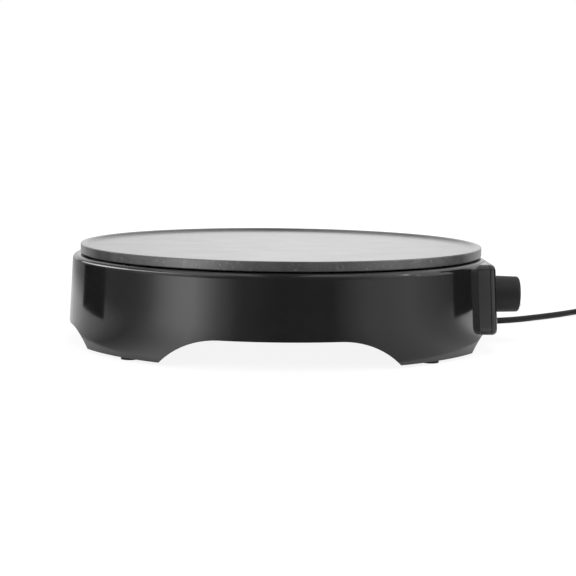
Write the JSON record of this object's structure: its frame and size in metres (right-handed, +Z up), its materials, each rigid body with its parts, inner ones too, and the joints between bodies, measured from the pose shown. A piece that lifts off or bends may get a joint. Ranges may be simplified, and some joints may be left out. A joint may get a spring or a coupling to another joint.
{
  "type": "electric crepe maker",
  "caption": "Round electric crepe maker: a rimmed cast baking plate on a low glossy housing with an arched skirt, a thermostat knob and a mains cord.",
  "frame": {"origin": "under the middle of the object without its cord, at the level of the surface that the four rubber feet stand on; the baking plate's vertical axis is at x = -11.45 mm, y = 0", "axes": "+Z up, +X towards the control box and knob, -Y towards the picture's camera"},
  "size_m": [0.4948, 0.3223, 0.0713],
  "materials": {
    "gloss_housing": "glossy black moulded thermoplastic",
    "black_cover": "fine satin black moulding",
    "plate_coating": "cast aluminium with a dark grey non-stick coating",
    "knob_plastic": "matt black moulding",
    "rubber": "black rubber",
    "zinc_steel": "zinc plated steel",
    "element_steel": "dull stainless tube",
    "reflector_steel": "aluminised sheet",
    "ceramic": "unglazed steatite",
    "copper": "bare copper",
    "glass_sleeve": "braided glass fibre sleeve",
    "fuse_metal": "plated brass",
    "lens": "clear amber lens",
    "lamp": "cream lamp holder",
    "wire_brown": "brown insulation",
    "wire_blue": "blue insulation",
    "wire_green": "green and yellow insulation",
    "cord_black": "black PVC cord",
    "plug_black": "black moulded plug",
    "pin_metal": "nickel plated brass"
  },
  "bodies": {
    "base": {"base_shell": "gloss_housing", "bottom_cover": "black_cover", "cover_screws": "zinc_steel", "rubber_feet": "rubber", "baking_plate": "plate_coating", "plate_screws": "zinc_steel", "plate_bushes": "ceramic", "heating_element": "element_steel", "element_bushes": "ceramic", "element_tabs": "zinc_steel", "element_clips": "zinc_steel", "element_clip_screws": "zinc_steel", "heat_reflector": "reflector_steel", "sensor_bulb": "copper", "sensor_clip": "zinc_steel", "capillary_tube": "copper", "thermal_fuse": "fuse_metal", "fuse_sleeve": "glass_sleeve", "fuse_clip": "zinc_steel", "clip_screws": "zinc_steel", "wire_grommet": "rubber", "thermostat_body": "ceramic", "thermostat_plate": "zinc_steel", "thermostat_screws": "zinc_steel", "thermostat_tabs": "zinc_steel", "control_fascia": "gloss_housing", "pilot_lens": "lens", "pilot_lamp": "lamp", "terminal_block": "ceramic", "terminal_screws": "zinc_steel", "live_wires": "wire_brown", "neutral_wires": "wire_blue", "earth_wire": "wire_green", "cord_clamp": "black_cover", "clamp_screws": "zinc_steel", "strain_relief": "cord_black", "cord": "cord_black", "cord_coil": "cord_black", "cord_tie": "rubber", "plug_relief": "plug_black", "plug_body": "plug_black", "plug_pins": "pin_metal", "plug_earth_strip": "pin_metal"},
    "knob": {"knob": "knob_plastic", "knob_spring": "zinc_steel", "thermostat_shaft": "zinc_steel"}
  },
  "joints": [
    {"name": "knob_turn", "type": "hinge", "parent": "base", "child": "knob", "pos_m": [0.15855, 0, 0.034], "axis": [-1, 0, 0], "range_deg": [0, 270]}
  ]
}
